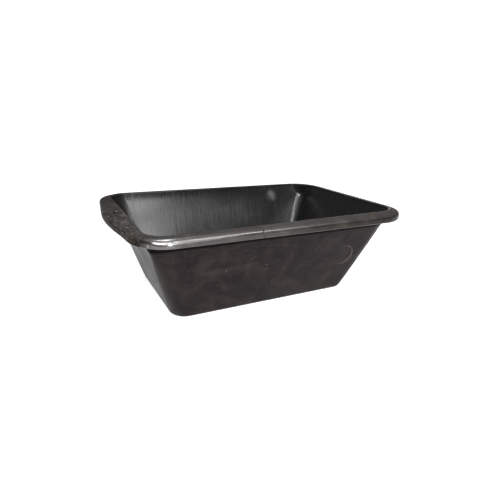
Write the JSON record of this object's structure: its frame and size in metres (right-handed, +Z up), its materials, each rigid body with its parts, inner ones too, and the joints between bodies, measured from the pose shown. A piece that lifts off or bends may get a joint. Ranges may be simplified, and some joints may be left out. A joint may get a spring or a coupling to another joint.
{
  "type": "wheelbarrow tray",
  "caption": "Black open tapered tub with a rounded hollow edging round its mouth and a wide bowed carrying lip with an eyelet at one end.",
  "frame": {"origin": "on the ground, under the middle of the overall outline", "axes": "+X from the lip end to the plain end, along the length; +Z up; the side with the edging's off-centre joint faces -Y"},
  "size_m": [0.886, 0.588, 0.2763],
  "materials": {
    "shell": "worn satin, cloudy scuffs outside, streaky sheen inside",
    "lip": "mottled and streaked satin",
    "edging": "polished by handling, lightly scratched",
    "joiner": "as moulded",
    "rivet": "dull satin",
    "eyelet": "tarnished satin"
  },
  "bodies": {
    "root": {"tray_shell": "shell", "end_lip": "lip", "rim_front_left": "edging", "rim_front_right": "edging", "rim_back": "edging", "joiner_front": "joiner", "joiner_end": "joiner", "joiner_lip_front": "joiner", "joiner_lip_back": "joiner", "lip_rivets": "rivet", "lip_eyelet": "eyelet"}
  },
  "joints": []
}
